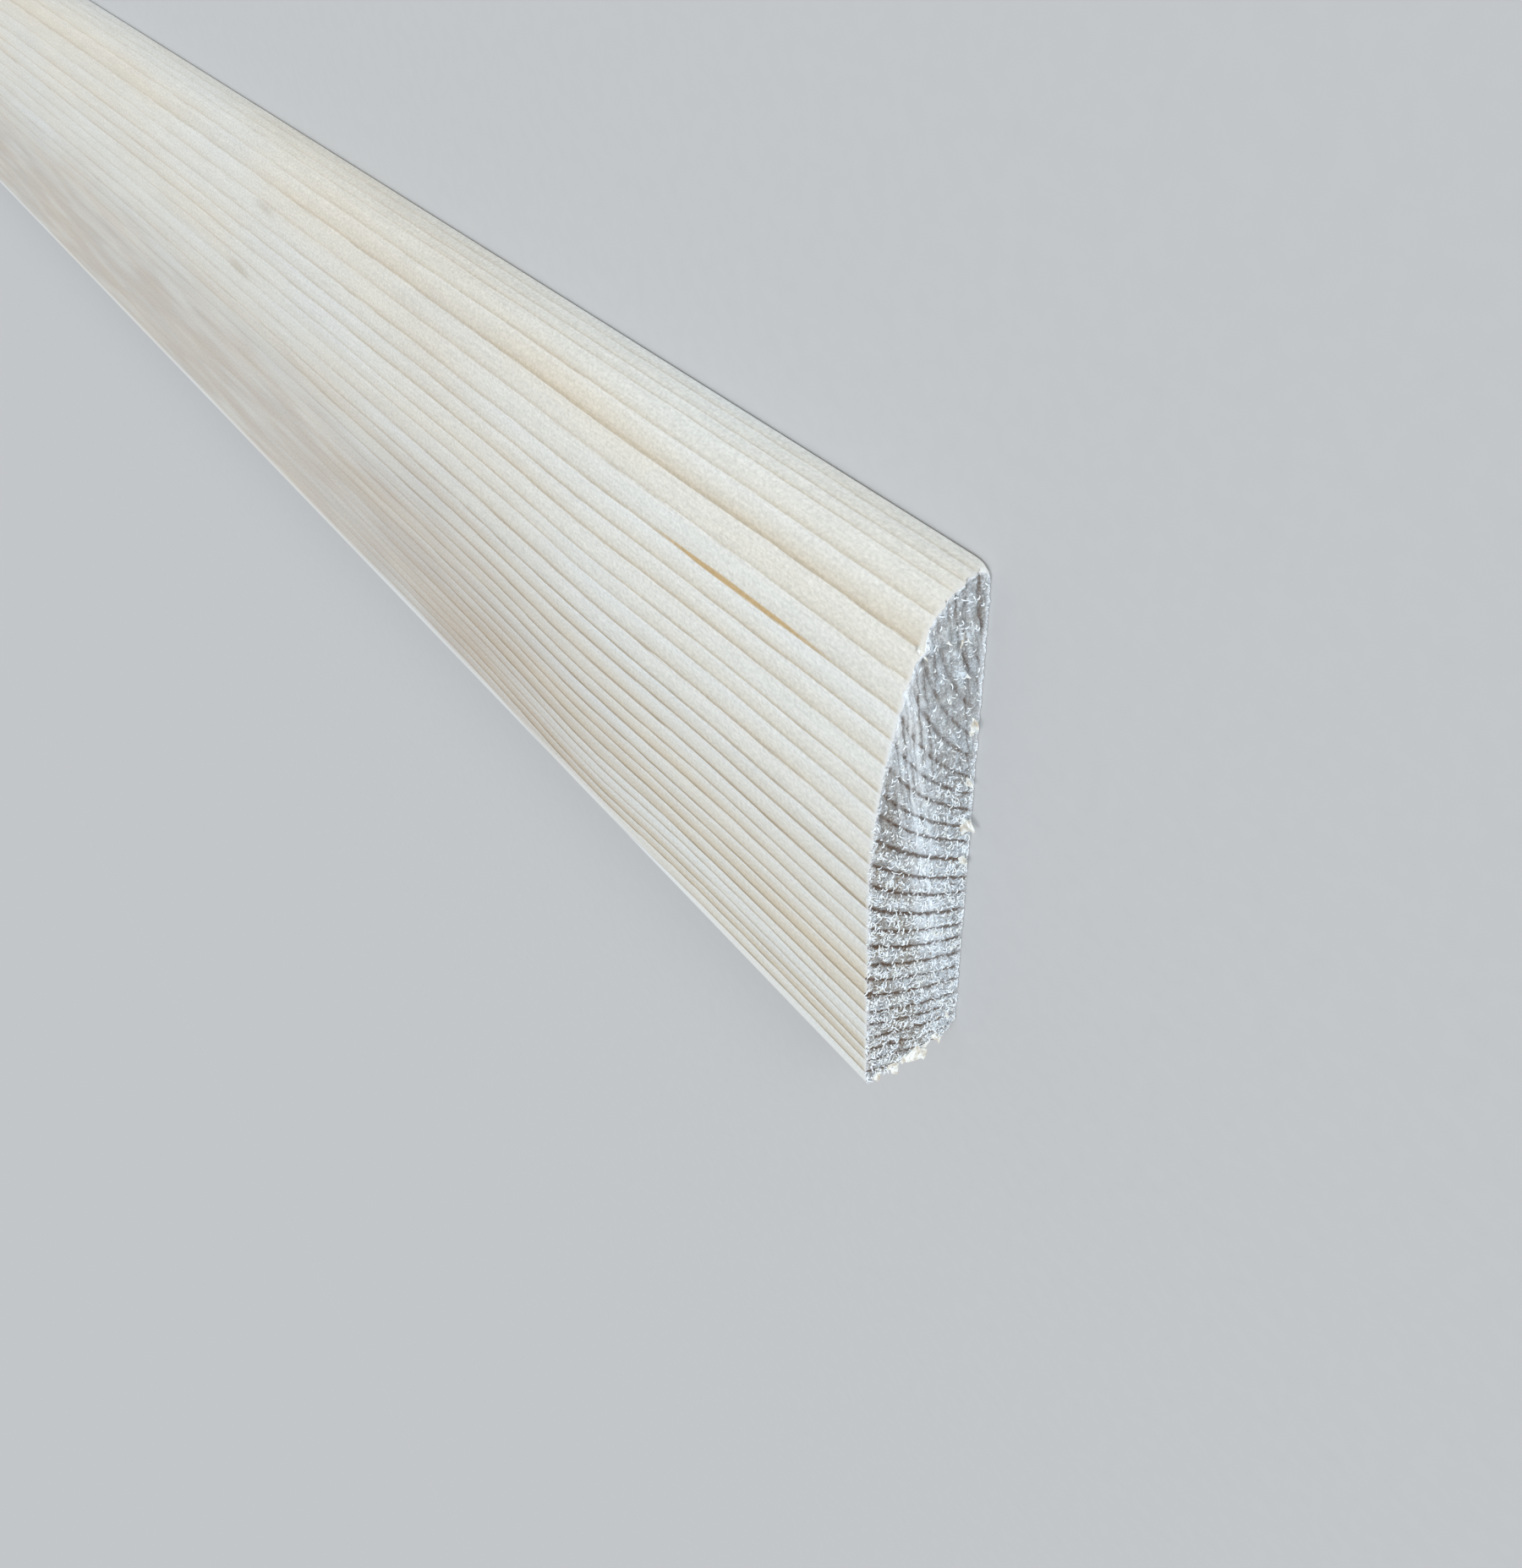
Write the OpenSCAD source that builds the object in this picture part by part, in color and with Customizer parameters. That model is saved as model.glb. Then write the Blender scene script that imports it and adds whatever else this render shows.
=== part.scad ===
/* [Board] */
// Length between the two sawn ends
board_length = 1800; // [900:100:3600]
// Width from the square edge to the rounded edge
board_width = 58; // [54:1:70]
// Thickness from the back to the flat of the face
board_thickness = 12; // [11:0.5:16]

/* [Moulding] */
// Width of the flat part of the face, measured from the square edge
face_flat = 28; // [20:0.5:36]
// Radius of the nose that turns the face over into the rounded edge
nose_radius = 7.5; // [5:0.5:8]

/* [Eased edges] */
// Radius of the eased edge between the back and the square edge
back_edge_radius = 2.5; // [0.5:0.5:4]
// Radius of the eased edge between the face and the square edge
face_edge_radius = 0.5; // [0.2:0.1:1.5]

/* [Hidden] */
$fn = 96;
// How far a cut runs past the wood that it takes away
overrun = 1;
// The square edge and the rounded edge lie at equal distances from the origin
square_edge = -board_width / 2;
round_edge = board_width / 2;
// The nose is a quarter round that ends square to the back
nose_centre = round_edge - nose_radius;
// The crown is one arc that leaves the flat and meets the nose as a tangent to both
crown_start = square_edge + face_flat;
crown_reach = nose_centre - crown_start;
crown_radius = (board_thickness ^ 2 + crown_reach ^ 2 - nose_radius ^ 2)
    / (2 * (board_thickness - nose_radius));
crown_centre_height = board_thickness - crown_radius;
nose_start = crown_start + crown_reach * crown_radius / (crown_radius - nose_radius);

// A block of the section between two places across the width and two heights above the back
module block(from, to, bottom, top) {
    translate([from, bottom]) square([to - from, top - bottom]);
}

// The wood under the long crown
module crown_block() {
    intersection() {
        block(crown_start, nose_start, 0, board_thickness);
        translate([crown_start, crown_centre_height]) circle(r = crown_radius);
    }
}

// The wood under the nose, out to the rounded edge
module nose_block() {
    intersection() {
        block(nose_start, round_edge + overrun, 0, board_thickness);
        translate([nose_centre, 0]) circle(r = nose_radius);
    }
}

// Waste of an eased corner that points to -X and -Y, with the arc's centre at the origin
module corner_waste(radius) {
    difference() {
        block(-radius - overrun, 0, -radius - overrun, 0);
        circle(r = radius);
    }
}

// Section of the moulding: X runs across the width, and Y is the height above the back
module section() {
    difference() {
        union() {
            block(square_edge, crown_start, 0, board_thickness);
            crown_block();
            nose_block();
        }
        translate([square_edge + back_edge_radius, back_edge_radius])
            corner_waste(back_edge_radius);
        translate([square_edge + face_edge_radius, board_thickness - face_edge_radius])
            mirror([0, 1]) corner_waste(face_edge_radius);
    }
}

// The whole board: one length of planed softwood, lying on its back along X
module plank() {
    color("#e4dccb")
        rotate([90, 0, 90])
            translate([0, 0, -board_length / 2])
                linear_extrude(height = board_length)
                    section();
}

plank();
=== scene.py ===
"""A length of planed pine moulding with one torn, roughly sawn end towards the camera."""

import math

import bmesh
import bpy
import numpy as np
from mathutils import Matrix, Quaternion, Vector, noise


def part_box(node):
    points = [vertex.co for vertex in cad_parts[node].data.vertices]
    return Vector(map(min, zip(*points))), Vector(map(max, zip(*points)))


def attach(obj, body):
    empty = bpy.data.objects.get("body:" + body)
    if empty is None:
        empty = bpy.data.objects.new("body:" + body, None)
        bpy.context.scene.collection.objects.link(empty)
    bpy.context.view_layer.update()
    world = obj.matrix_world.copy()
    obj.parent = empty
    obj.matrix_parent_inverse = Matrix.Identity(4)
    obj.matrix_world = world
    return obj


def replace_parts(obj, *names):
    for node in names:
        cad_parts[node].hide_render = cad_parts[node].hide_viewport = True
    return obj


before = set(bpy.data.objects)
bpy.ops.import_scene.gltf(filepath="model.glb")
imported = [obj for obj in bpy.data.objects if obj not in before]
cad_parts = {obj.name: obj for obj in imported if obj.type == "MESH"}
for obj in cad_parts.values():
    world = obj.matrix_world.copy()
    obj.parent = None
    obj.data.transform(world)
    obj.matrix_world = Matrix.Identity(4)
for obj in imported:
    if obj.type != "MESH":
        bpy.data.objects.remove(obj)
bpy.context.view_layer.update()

bl_info = {
    "name": "Moulded pine plank",
    "version": (1, 0, 0),
    "blender": (4, 5, 0),
    "location": "3D view > Sidebar > Plank",
    "description": "Builds a planed pine moulding with sawn ends, and the stage it is shown on",
    "category": "Add Mesh",
}

MM = 0.001
PLANK_NODE = "plank"
BODY = "root"

# The board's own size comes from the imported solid, in millimetres.
LOW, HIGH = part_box(PLANK_NODE)
HALF_LENGTH = (HIGH.x - LOW.x) / 2 / MM
SQUARE_EDGE = LOW.y / MM
ROUND_EDGE = HIGH.y / MM
THICKNESS = HIGH.z / MM

# Growth rings: the pith ran along the board, under its back near the rounded edge.
PITH_Y, PITH_Z = 28.5, -16.7
# How many rings lie within a radius of the pith, in millimetres.
RING_RADII = (13.0, 18.2, 20.6, 26.0, 34.4, 44.5, 54.2, 62.5, 68.0)
RING_COUNTS = (0.0, 4.0, 6.0, 9.0, 14.0, 19.0, 24.0, 29.0, 32.0)
# Each ring's line on the face, from the seventh ring outwards: its strength, and how narrow its
# latewood is, from 0.7 for a broad run to 2.6 for a thin line.
FIRST_RING = 6
RING_LINES = (
    (0.62, 2.2), (0.98, 1.1), (0.62, 2.4), (0.90, 2.0), (0.92, 2.0), (1.05, 1.8), (0.80, 2.6),
    (0.70, 1.0), (0.86, 1.6), (1.12, 2.0), (1.20, 1.2), (1.15, 1.7), (1.12, 1.4), (1.15, 1.0),
    (1.15, 1.6), (1.08, 0.8), (1.10, 0.8), (1.10, 0.8), (0.90, 1.8), (0.55, 1.6), (1.10, 0.7),
    (1.10, 0.7), (0.80, 1.2),
)
# The palest track of the saw on the ends: its height at the middle, and how much it leans across.
TRACK_HEIGHT, TRACK_LEAN = 5.8, 0.13
# How much the ridges that the teeth left lean across.
TOOTH_LEAN = 0.12
# Pin knots that show faintly on the face: distance from the near end, place across, and half size.
PIN_KNOTS = (
    (140.0, 20.9, 4.5, 1.0),
    (152.0, 9.6, 5.0, 1.1),
)
# How deep their colour reaches into the board.
KNOT_DEPTH = 8.0
# The thin resin streak lies on one dark line, between two distances from the near end.
RESIN_RING = 9.92
RESIN_START, RESIN_END = 8.0, 38.0
# Half of its width, as a share of a ring.
RESIN_WIDTH = 0.12
# Pairs of distances from the near end, in millimetres. Each grows from nothing at the first to all at
# the second: how far the lines fade, how much of that is left before they come back further on, and
# the tint beside the square edge.
LINES_FADE = (35.0, 150.0)
LINES_RETURN = (560.0, 380.0)
TINT_GROWS = (25.0, 95.0)
# What the warmest rings leave of red, green and blue.
WARM_TINT = (1.0, 0.95, 0.88)
# The same for the cool and warm stretches that drift across the rings.
COOL_DRIFT = (0.985, 1.0, 1.025)
WARM_DRIFT = (1.0, 0.975, 0.945)
# The same for the brown patches on the sawn ends.
STAIN_TINT = (0.80, 0.71, 0.62)
# The same for the soft smudges where the lines fade.
FADED_TINT = (0.76, 0.70, 0.665)

# Distances from a sawn end, in millimetres, at which the board gets a ring of points.
END_STEPS = (0.2, 0.45, 0.8, 1.25, 1.8, 2.5, 3.5, 5.0, 7.0, 9.5)
# The stretch that fills most of the photograph gets closer rings of points than the rest.
SHOWN_LENGTH, SHOWN_STEP = 172.0, 6.0
PLAIN_STEP = 40.0
# Shares of the bake map: that stretch of the board's length, the height of the ends, and the gaps.
SHOWN_SHARE, END_ROOM, MAP_GAP = 0.3, 0.105, 0.006
# Steps round the eased back edge and round the nose, the step across between them in millimetres,
# and the rows of faces up a sawn end.
EASE_STEPS, NOSE_STEPS = 14, 44
COLUMN_STEP = 0.2
ROWS = 50
# The edge between nose and back is worn round by this much along the board, and by more at its ends.
TIP_EASE, WORN_TIP_EASE = 0.25, 1.6
# Length, from a sawn end, over which the wear at the tip grows less.
WEAR_FADE = 1.8
# Length, from a sawn end, over which the ragged edge fades into the planed faces.
EDGE_FADE = 1.6

# Width of the pale crushed rim round a sawn end, in millimetres.
RIM_WIDTH = 0.6
# Furthest that a torn fibre may stand out of a sawn end, in millimetres.
FIBRE_REACH = 3.0

# Torn places on the near end: place across, height, radius and rise, where a hollow is negative.
TORN_PLACES = (
    (23.9, 6.8, 0.9, 0.50),
    (24.2, 4.8, 0.8, 0.40),
    (23.0, 2.2, 0.6, 0.40),
    (19.5, 2.4, 0.6, 0.40),
    (22.7, 6.4, 0.5, -0.40),
    (22.8, 4.2, 0.5, -0.35),
    (23.8, 8.0, 0.4, -0.70),
    (20.2, 8.6, 0.5, -0.30),
    (7.6, 10.4, 0.5, -0.45),
    (-12.6, 11.8, 0.4, -0.50),
    (-15.0, 11.7, 0.5, -0.60),
    (-24.4, 8.6, 0.3, -0.80),
    (-25.7, 7.5, 0.6, -0.20),
    (-28.8, 6.4, 0.6, -0.60),
    (-28.8, 3.4, 0.5, -0.50),
    (-28.7, 10.4, 0.5, -0.40),
)


def linear(hex_colour):
    """Turn an sRGB hex colour into the linear colour that Blender works in."""
    channels = [int(hex_colour[i:i + 2], 16) / 255 for i in (1, 3, 5)]
    return [c / 12.92 if c <= 0.04045 else ((c + 0.055) / 1.055) ** 2.4 for c in channels]


def size_property(name, description, default):
    """A length in metres that the sidebar shows in the scene's unit."""
    return bpy.props.FloatProperty(
        name=name, description=description, default=default, min=0, precision=5,
        subtype="DISTANCE", unit="LENGTH")


def colour_property(name, description, hex_colour):
    """A colour that is written as sRGB hex and kept as linear."""
    return bpy.props.FloatVectorProperty(
        name=name, description=description, default=linear(hex_colour), size=3,
        min=0, max=1, subtype="COLOR")


class PlankSection(bpy.types.PropertyGroup):
    """Sizes of the moulding's section."""
    face_flat: size_property("Flat of the face", "Width of the flat, from the square edge", 28 * MM)
    nose_radius: size_property("Nose radius", "Radius that turns the face into the edge", 7.5 * MM)
    back_edge_radius: size_property("Back edge", "Eased edge between back and square edge", 2.5 * MM)
    face_edge_radius: size_property("Face edge", "Eased edge between face and square edge", 0.5 * MM)


class SawnEnds(bpy.types.PropertyGroup):
    """Sizes of what the saw left on the two ends."""
    tear_depth: size_property("Tear", "How far torn fibres stand up or sink", 0.14 * MM)
    ring_groove: size_property("Ring groove", "How deep the dark line of each ring is torn", 0.28 * MM)
    saw_marks: size_property("Saw marks", "Height of the ridges that the teeth left", 0.06 * MM)
    fibre_length: size_property("Fibre length", "Length of a torn fibre", 0.42 * MM)
    fibre_thickness: size_property("Fibre thickness", "Thickness of a torn fibre at its root", 0.21 * MM)
    fibre_spacing: size_property("Fibre spacing", "Usual distance between torn fibres", 0.40 * MM)
    seed: bpy.props.IntProperty(name="Seed", description="Changes which fibres are torn", default=7)


class PineColours(bpy.types.PropertyGroup):
    """Colours of the wood."""
    first_wood: colour_property("First wood", "Palest wood, right after a dark line", "#EAF0F3")
    earlywood: colour_property("Earlywood", "Pale wood of spring", "#E4E9E7")
    latewood: colour_property("Latewood", "Wood that darkens towards the line", "#D0C9B7")
    ring_line: colour_property("Ring line", "Thin dark line that ends a ring", "#A2957E")
    resin: colour_property("Resin", "Streak of resin", "#C4A875")
    sawn_tip: colour_property("Sawn tip", "Broken fibres that catch the light", "#C4D2DD")
    # Painted shade: the colour of the hollows between the torn fibres.
    painted_hollow_shade: colour_property("Painted hollow shade", "Wood between the torn fibres", "#655440")
    # Painted sheen, pale and bluish, on the burnished track of the saw's teeth.
    burnished_track_sheen: colour_property("Track sheen", "Burnished track of the saw's teeth", "#E2EEF8")
    sawn_line: colour_property("Sawn line", "Dark line of a ring on a sawn end", "#523F30")
    torn_fibre: colour_property("Torn fibre", "Loose fibres on the sawn ends", "#EDF7FF")
    torn_flake: colour_property("Torn flake", "Thicker torn flakes", "#BDB6A8")


def add(tree, kind, links=None, stops=None, out=0, **settings):
    """Add a node with its settings and give the output that others read: the first, unless out names
    another. Links gives each input a socket or a value, and stops gives a ramp's places and shades."""
    node = tree.nodes.new(kind)
    for name, value in settings.items():
        setattr(node, name, value)
    for key, value in (links or {}).items():
        if isinstance(value, bpy.types.NodeSocket):
            tree.links.new(value, node.inputs[key])
        else:
            node.inputs[key].default_value = value
    if stops:
        ramp = node.color_ramp
        while len(ramp.elements) < len(stops):
            ramp.elements.new(0.5)
        for element, (place, shade) in zip(ramp.elements, stops):
            element.position = place
            element.color = (shade, shade, shade, 1)
    return node.outputs[out] if len(node.outputs) else None


# The kinds of node that are used most.
MATH, VECTOR_MATH, MIX = "ShaderNodeMath", "ShaderNodeVectorMath", "ShaderNodeMix"
MAP_RANGE, RAMP = "ShaderNodeMapRange", "ShaderNodeValToRGB"
# Sockets and settings of a colour Mix node, which has one set of sockets for each kind of data.
MIX_A, MIX_B = 6, 7
COLOUR_MIX = {"data_type": "RGBA", "out": 2}


def new_material(name):
    """A material with an empty tree."""
    material = bpy.data.materials.new(name)
    material.use_nodes = True
    material.node_tree.nodes.clear()
    return material, material.node_tree


def surface(tree, inputs):
    """Finish a material with its Principled shader and its output."""
    shader = add(tree, "ShaderNodeBsdfPrincipled", inputs)
    add(tree, "ShaderNodeOutputMaterial", {"Surface": shader})


def opaque(colour):
    """A colour with full opacity, as a node's socket takes it."""
    return (*colour, 1)


def patches_of(tree, place, sizes, detail=1.0, roughness=0.5):
    """Soft random patches that measure about sizes along X, Y and Z, in millimetres."""
    scaled = add(tree, "ShaderNodeMapping", {
        "Vector": place, "Scale": [1 / (size * MM) for size in sizes]})
    return add(tree, "ShaderNodeTexNoise", {
        "Vector": scaled, "Scale": 1.0, "Detail": detail, "Roughness": roughness}, out="Fac")


def tinted(tree, wood, amount, tint):
    """Turn the wood's colour towards its product with a tint, as far as the amount says."""
    deep = add(tree, VECTOR_MATH, {0: wood, 1: tint}, operation="MULTIPLY")
    return add(tree, MIX, {0: amount, MIX_A: wood, MIX_B: deep}, **COLOUR_MIX)


def planed_pine(colours):
    """Pine, planed by a moulder: pale spring wood, tan towards each thin dark line, a low satin
    sheen along the grain, and a fine nap that a dull knife leaves."""
    material, tree = new_material("planed_pine")
    place = add(tree, "ShaderNodeTexCoord", out="Object")
    split = add(tree, "ShaderNodeSeparateXYZ", {0: place}).node.outputs
    along, across = split["X"], split["Y"]
    ring = add(tree, "ShaderNodeAttribute", attribute_name="ring", out="Fac")

    # Fibres: 0.25 mm wide and about 8 mm long.
    streaks = patches_of(tree, place, (8, 0.25, 0.25), detail=3.0, roughness=0.6)
    # Nap: raised specks about 0.2 mm across, drawn half as large again so that they show.
    nap = patches_of(tree, place, (0.45, 0.3, 0.3), detail=2.0, roughness=0.6)

    # The fibres fray the dark lines a little.
    fray = add(tree, MAP_RANGE, {
        "Value": streaks, "From Min": 0.25, "From Max": 0.75, "To Min": -0.05, "To Max": 0.05})
    frayed = add(tree, MATH, {0: ring, 1: fray}, operation="ADD")
    part = add(tree, MATH, {0: frayed}, operation="FRACT")
    number = add(tree, MATH, {0: frayed}, operation="FLOOR")
    number = add(tree, MATH, {0: number, 1: RING_COUNTS[-1]}, operation="DIVIDE")
    # Some rings have a strong line and some a weak one, with a broad run of latewood or a narrow one.
    strength, narrowness = (
        add(tree, RAMP, {0: number}, stops=[
            ((FIRST_RING + i) / RING_COUNTS[-1], line[kind]) for i, line in enumerate(RING_LINES)])
        for kind in (0, 1))
    late_part = add(tree, MATH, {0: part, 1: narrowness}, operation="POWER")
    late = add(tree, RAMP, {0: late_part}, stops=(
        (0.0, 0.1), (0.05, 0.02), (0.45, 0.30), (0.78, 0.64), (0.90, 0.85), (0.96, 0.75), (1.0, 0.1)))
    line = add(tree, RAMP, {0: part}, stops=(
        (0.0, 0.15), (0.03, 0.0), (0.82, 0.0), (0.93, 0.6), (0.965, 0.9), (1.0, 0.15)))
    fresh = add(tree, RAMP, {0: part}, stops=(
        (0.0, 0.0), (0.03, 0.6), (0.14, 0.3), (0.4, 0.0), (1.0, 0.0)))

    # Along a line the strength comes and goes, over about 30 mm.
    ebb = patches_of(tree, place, (30, 2, 2))
    ebb = add(tree, MAP_RANGE, {
        "Value": ebb, "From Min": 0.3, "From Max": 0.65, "To Min": 0.72, "To Max": 1.08})
    # The lines fade away from the near end, most at the square edge, and come back further on.
    far, shown, turned = (
        add(tree, MAP_RANGE, {
            "Value": along, "From Min": (HALF_LENGTH - none) * MM, "From Max": (HALF_LENGTH - full) * MM},
            interpolation_type="SMOOTHSTEP")
        for none, full in (LINES_FADE, LINES_RETURN, TINT_GROWS))
    faded = add(tree, MAP_RANGE, {
        "Value": across, "From Min": 14 * MM, "From Max": -8 * MM, "To Min": 0.5, "To Max": 0.92})
    for share in (shown, far):
        faded = add(tree, MATH, {0: faded, 1: share}, operation="MULTIPLY")
    kept = add(tree, MATH, {0: 1.0, 1: faded}, operation="SUBTRACT")
    # They are strongest beside the square edge, and the dark lines are weak on the crown.
    gain = add(tree, MAP_RANGE, {
        "Value": across, "From Min": -6 * MM, "From Max": -20 * MM, "To Min": 0.95, "To Max": 1.4})
    for share in (ebb, kept, gain):
        strength = add(tree, MATH, {0: strength, 1: share}, operation="MULTIPLY")
    fresh, late, line = (
        add(tree, MATH, {0: amount, 1: strength}, operation="MULTIPLY")
        for amount in (fresh, late, line))
    crisp = add(tree, MAP_RANGE, {
        "Value": across, "From Min": 1 * MM, "From Max": 14 * MM, "To Min": 0.95, "To Max": 0.5})
    line = add(tree, MATH, {0: line, 1: crisp}, operation="MULTIPLY")

    # Resin that bled along one line, widest in the middle of its length.
    middle = (HALF_LENGTH - (RESIN_START + RESIN_END) / 2) * MM
    half = (RESIN_END - RESIN_START) / 2 * MM
    squares = []
    for value, centre, reach in ((along, middle, half), (frayed, RESIN_RING, RESIN_WIDTH)):
        away = add(tree, MATH, {0: value, 1: centre}, operation="SUBTRACT")
        away = add(tree, MATH, {0: away, 1: reach}, operation="DIVIDE")
        squares.append(add(tree, MATH, {0: away, 1: away}, operation="MULTIPLY"))
    spread = add(tree, MATH, {0: squares[0], 1: squares[1]}, operation="ADD")
    resin = add(tree, MAP_RANGE, {
        "Value": spread, "From Min": 1.0, "From Max": 0.3, "To Min": 0.0, "To Max": 0.85})

    layers = [
        (fresh, colours.first_wood), (late, colours.latewood), (line, colours.ring_line),
        (resin, colours.resin)]
    for distance, over, half_length, half_width in PIN_KNOTS:
        centred = add(tree, VECTOR_MATH, {
            0: place, 1: ((HALF_LENGTH - distance) * MM, over * MM, THICKNESS * MM)},
            operation="SUBTRACT")
        scaled = add(tree, VECTOR_MATH, {
            0: centred, 1: (1 / (half_length * MM), 1 / (half_width * MM), 1 / (KNOT_DEPTH * MM))},
            operation="MULTIPLY")
        reach = add(tree, VECTOR_MATH, {0: scaled}, operation="LENGTH", out="Value")
        smudge = add(tree, MAP_RANGE, {
            "Value": reach, "From Min": 1.3, "From Max": 0.2, "To Min": 0.0, "To Max": 0.3},
            interpolation_type="SMOOTHSTEP")
        layers.append((smudge, colours.ring_line))
    wood = opaque(colours.earlywood)
    for amount, colour in layers:
        wood = add(tree, MIX, {0: amount, MIX_A: wood, MIX_B: opaque(colour)}, **COLOUR_MIX)

    # Streaks and nap make the wood a little lighter or darker.
    for pattern, least, most, dark, light in (
            (streaks, 0.25, 0.75, 0.92, 1.06), (nap, 0.3, 0.7, 0.88, 1.09)):
        shade = add(tree, MAP_RANGE, {
            "Value": pattern, "From Min": least, "From Max": most, "To Min": dark, "To Max": light})
        wood = add(tree, VECTOR_MATH, {0: wood, "Scale": shade}, operation="SCALE")

    # Where the lines fade beside the square edge, the wood turns a little pink, with soft brown
    # smudges about 25 mm long.
    brown = patches_of(tree, place, (25, 3, 3))
    brown = add(tree, MAP_RANGE, {
        "Value": brown, "From Min": 0.3, "From Max": 0.75, "To Min": 0.7, "To Max": 1.4})
    beside_edge = add(tree, MAP_RANGE, {
        "Value": across, "From Min": 8 * MM, "From Max": -14 * MM, "To Min": 0.24, "To Max": 0.92})
    for share in (turned, beside_edge, shown):
        brown = add(tree, MATH, {0: brown, 1: share}, operation="MULTIPLY")
    wood = tinted(tree, wood, brown, FADED_TINT)

    # A pale strip, 1 to 2 mm wide, is painted along the square edge, and the saw left a pale
    # fringe of crushed fibres, 0.5 mm wide, round each end.
    outwards = add(tree, MATH, {0: along}, operation="ABSOLUTE")
    for value, none, full in (
            (across, SQUARE_EDGE + 1.9, SQUARE_EDGE + 0.9),
            (outwards, HALF_LENGTH - 0.5, HALF_LENGTH - 0.1)):
        pale = add(tree, MAP_RANGE, {
            "Value": value, "From Min": none * MM, "From Max": full * MM, "To Min": 0.0, "To Max": 0.7})
        wood = add(tree, MIX, {0: pale, MIX_A: wood, MIX_B: opaque(colours.first_wood)}, **COLOUR_MIX)

    # Cool and warm stretches, about 40 mm long, drift across the rings.
    drift = patches_of(tree, place, (40, 6, 6))
    drift = add(tree, MAP_RANGE, {"Value": drift, "From Min": 0.3, "From Max": 0.7})
    tint = add(tree, MIX, {0: drift, MIX_A: opaque(COOL_DRIFT), MIX_B: opaque(WARM_DRIFT)}, **COLOUR_MIX)
    wood = add(tree, VECTOR_MATH, {0: wood, 1: tint}, operation="MULTIPLY")

    # A few rings on the crown are warmer than the rest, in patches a hand's breadth long.
    order = add(tree, MATH, {0: ring, 1: RING_COUNTS[-1]}, operation="DIVIDE")
    warmth = add(tree, RAMP, {0: order}, stops=(
        (0.0, 0.45), (0.18, 0.6), (0.22, 1.0), (0.25, 0.9), (0.27, 0.5), (0.33, 0.45), (0.50, 0.2),
        (0.78, 0.2), (1.0, 0.1)))
    patchy = patches_of(tree, place, (90, 9, 9))
    patchy = add(tree, MAP_RANGE, {
        "Value": patchy, "From Min": 0.35, "From Max": 0.65, "To Min": 0.35, "To Max": 1.0})
    warm = add(tree, MATH, {0: warmth, 1: patchy}, operation="MULTIPLY")
    wood = tinted(tree, wood, warm, WARM_TINT)

    gloss = add(tree, MAP_RANGE, {"Value": late, "To Min": 0.62, "To Max": 0.5})
    height = add(tree, MATH, {0: nap, 1: streaks}, operation="ADD")
    height = add(tree, MATH, {0: line, 1: -0.4, 2: height}, operation="MULTIPLY_ADD")
    bump = add(tree, "ShaderNodeBump", {"Height": height, "Strength": 0.7, "Distance": 0.05 * MM})
    surface(tree, {"Base Color": wood, "Roughness": gloss, "IOR": 1.45, "Normal": bump})
    return material


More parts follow.
